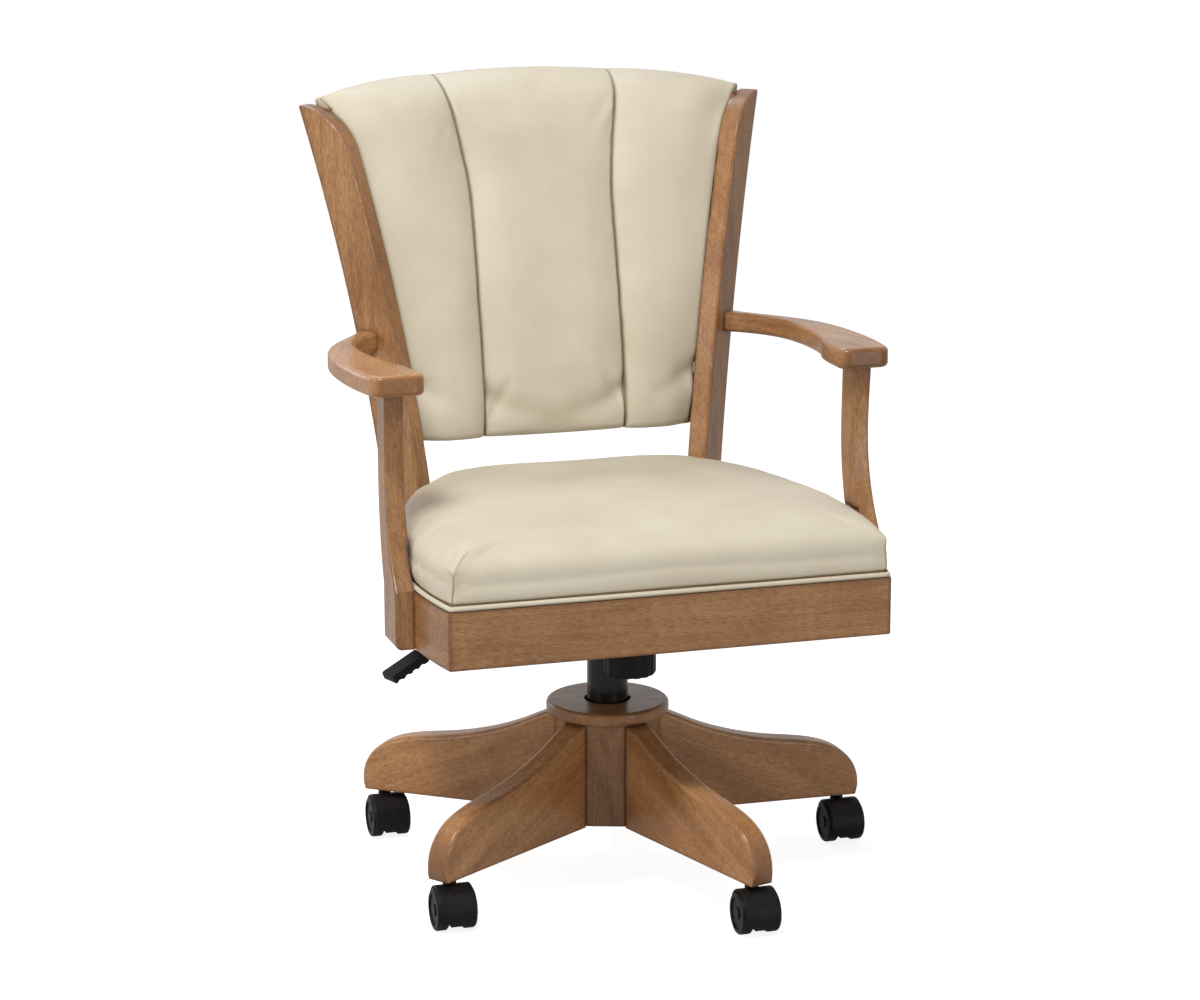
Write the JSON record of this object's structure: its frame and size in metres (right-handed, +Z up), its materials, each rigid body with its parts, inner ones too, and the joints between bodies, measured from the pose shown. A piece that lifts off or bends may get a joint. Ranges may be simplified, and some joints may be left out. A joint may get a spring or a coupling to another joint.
{
  "type": "swivel desk chair",
  "caption": "Swivel desk chair with a wooden frame, padded leather seat, channelled back, bowed arms, gas lift, tilt and a wooden caster base.",
  "frame": {"origin": "on the floor, on the column's axis", "axes": "+Z up, the sitter faces -Y, +X is the sitter's left"},
  "size_m": [0.655, 0.726, 0.938],
  "materials": {
    "wood": "satin lacquer over brown stain",
    "leather": "soft cream, fine grain",
    "black_metal": "satin black",
    "steel": "plain",
    "black_plastic": "fine satin",
    "plywood": "unfinished"
  },
  "bodies": {
    "base": {"base_hub": "wood", "base_legs": "wood", "hub_cap": "wood", "caster_sockets": "steel", "caster_stems": "black_metal", "lift_tube": "black_metal", "guide_bush": "black_plastic", "thrust_bearing": "steel"},
    "swivel_rod": {"piston_rod": "steel", "rod_clip": "steel"},
    "lift": {"gas_cylinder": "black_metal", "tilt_housing": "black_metal", "tilt_axle": "steel", "tilt_spring": "steel"},
    "pin": {"release_pin": "steel"},
    "lever": {"lever_rod": "black_metal", "lever_paddle": "black_plastic"},
    "knob": {"tension_knob": "black_plastic"},
    "seat": {"seat_plate": "black_metal", "plate_bolts": "steel", "tension_bolt": "steel", "front_rail": "wood", "rear_rail": "wood", "side_rail_left": "wood", "side_rail_right": "wood", "corner_blocks": "plywood", "mounting_rails": "plywood", "seat_board": "plywood", "seat_cushion": "leather", "seat_welt": "leather", "frame_bolts": "steel", "stile_left": "wood", "stile_right": "wood", "back_board": "plywood", "back_cushion": "leather", "back_cover": "leather", "arm_left": "wood", "arm_right": "wood", "arm_post_left": "wood", "arm_post_right": "wood"},
    "caster_1": {"caster_body_1": "black_plastic", "caster_axle_1": "steel"},
    "wheel_1_left": {"caster_wheel_1_left": "black_plastic"},
    "wheel_1_right": {"caster_wheel_1_right": "black_plastic"},
    "caster_2": {"caster_body_2": "black_plastic", "caster_axle_2": "steel"},
    "wheel_2_left": {"caster_wheel_2_left": "black_plastic"},
    "wheel_2_right": {"caster_wheel_2_right": "black_plastic"},
    "caster_3": {"caster_body_3": "black_plastic", "caster_axle_3": "steel"},
    "wheel_3_left": {"caster_wheel_3_left": "black_plastic"},
    "wheel_3_right": {"caster_wheel_3_right": "black_plastic"},
    "caster_4": {"caster_body_4": "black_plastic", "caster_axle_4": "steel"},
    "wheel_4_left": {"caster_wheel_4_left": "black_plastic"},
    "wheel_4_right": {"caster_wheel_4_right": "black_plastic"},
    "caster_5": {"caster_body_5": "black_plastic", "caster_axle_5": "steel"},
    "wheel_5_left": {"caster_wheel_5_left": "black_plastic"},
    "wheel_5_right": {"caster_wheel_5_right": "black_plastic"}
  },
  "joints": [
    {"name": "seat_swivel", "type": "hinge", "parent": "base", "child": "swivel_rod", "pos_m": [0, 0, 0.08], "axis": [0, 0, 1], "continuous": true},
    {"name": "seat_lift", "type": "slide", "parent": "swivel_rod", "child": "lift", "axis": [0, 0, 1], "range_m": [0, 0.1]},
    {"name": "lift_lever", "type": "hinge", "parent": "lift", "child": "lever", "pos_m": [-0.0385, 0, 0.33], "axis": [0, 1, 0], "range_deg": [0, 4], "stiffness_Nm_per_rad": 10, "springref_deg": -2.86},
    {"name": "pin_press", "type": "slide", "parent": "lift", "child": "pin", "axis": [0, 0, -1], "range_m": [0, 0.0029]},
    {"name": "seat_tilt", "type": "hinge", "parent": "lift", "child": "seat", "pos_m": [0, 0.022, 0.342], "axis": [-1, 0, 0], "range_deg": [0, 10], "stiffness_Nm_per_rad": 200, "springref_deg": -11.46, "deforming": ["tilt_spring"]},
    {"name": "tension_turn", "type": "hinge", "parent": "seat", "child": "knob", "pos_m": [0, -0.09, 0.277], "axis": [0, 0, 1], "range_deg": [-720, 720]},
    {"name": "caster_1_swivel", "type": "hinge", "parent": "base", "child": "caster_1", "pos_m": [-0.24753, -0.16949, 0.045], "axis": [0, 0, 1], "continuous": true},
    {"name": "wheel_1_left_roll", "type": "hinge", "parent": "caster_1", "child": "wheel_1_left", "pos_m": [-0.24753, -0.18449, 0.025], "axis": [1, 0, 0], "continuous": true},
    {"name": "wheel_1_right_roll", "type": "hinge", "parent": "caster_1", "child": "wheel_1_right", "pos_m": [-0.24753, -0.18449, 0.025], "axis": [1, 0, 0], "continuous": true},
    {"name": "caster_2_swivel", "type": "hinge", "parent": "base", "child": "caster_2", "pos_m": [0.0847, -0.28779, 0.045], "axis": [0, 0, 1], "continuous": true},
    {"name": "wheel_2_left_roll", "type": "hinge", "parent": "caster_2", "child": "wheel_2_left", "pos_m": [0.0847, -0.30279, 0.025], "axis": [1, 0, 0], "continuous": true},
    {"name": "wheel_2_right_roll", "type": "hinge", "parent": "caster_2", "child": "wheel_2_right", "pos_m": [0.0847, -0.30279, 0.025], "axis": [1, 0, 0], "continuous": true},
    {"name": "caster_3_swivel", "type": "hinge", "parent": "base", "child": "caster_3", "pos_m": [0.29988, -0.00838, 0.045], "axis": [0, 0, 1], "continuous": true},
    {"name": "wheel_3_left_roll", "type": "hinge", "parent": "caster_3", "child": "wheel_3_left", "pos_m": [0.29988, -0.02338, 0.025], "axis": [1, 0, 0], "continuous": true},
    {"name": "wheel_3_right_roll", "type": "hinge", "parent": "caster_3", "child": "wheel_3_right", "pos_m": [0.29988, -0.02338, 0.025], "axis": [1, 0, 0], "continuous": true},
    {"name": "caster_4_swivel", "type": "hinge", "parent": "base", "child": "caster_4", "pos_m": [0.10064, 0.28262, 0.045], "axis": [0, 0, 1], "continuous": true},
    {"name": "wheel_4_left_roll", "type": "hinge", "parent": "caster_4", "child": "wheel_4_left", "pos_m": [0.10064, 0.26762, 0.025], "axis": [1, 0, 0], "continuous": true},
    {"name": "wheel_4_right_roll", "type": "hinge", "parent": "caster_4", "child": "wheel_4_right", "pos_m": [0.10064, 0.26762, 0.025], "axis": [1, 0, 0], "continuous": true},
    {"name": "caster_5_swivel", "type": "hinge", "parent": "base", "child": "caster_5", "pos_m": [-0.23769, 0.18304, 0.045], "axis": [0, 0, 1], "continuous": true},
    {"name": "wheel_5_left_roll", "type": "hinge", "parent": "caster_5", "child": "wheel_5_left", "pos_m": [-0.23769, 0.16804, 0.025], "axis": [1, 0, 0], "continuous": true},
    {"name": "wheel_5_right_roll", "type": "hinge", "parent": "caster_5", "child": "wheel_5_right", "pos_m": [-0.23769, 0.16804, 0.025], "axis": [1, 0, 0], "continuous": true}
  ],
  "couplings": [
    {"joint": "pin_press", "follows": "lift_lever", "m_per_rad": 0.0415}
  ]
}
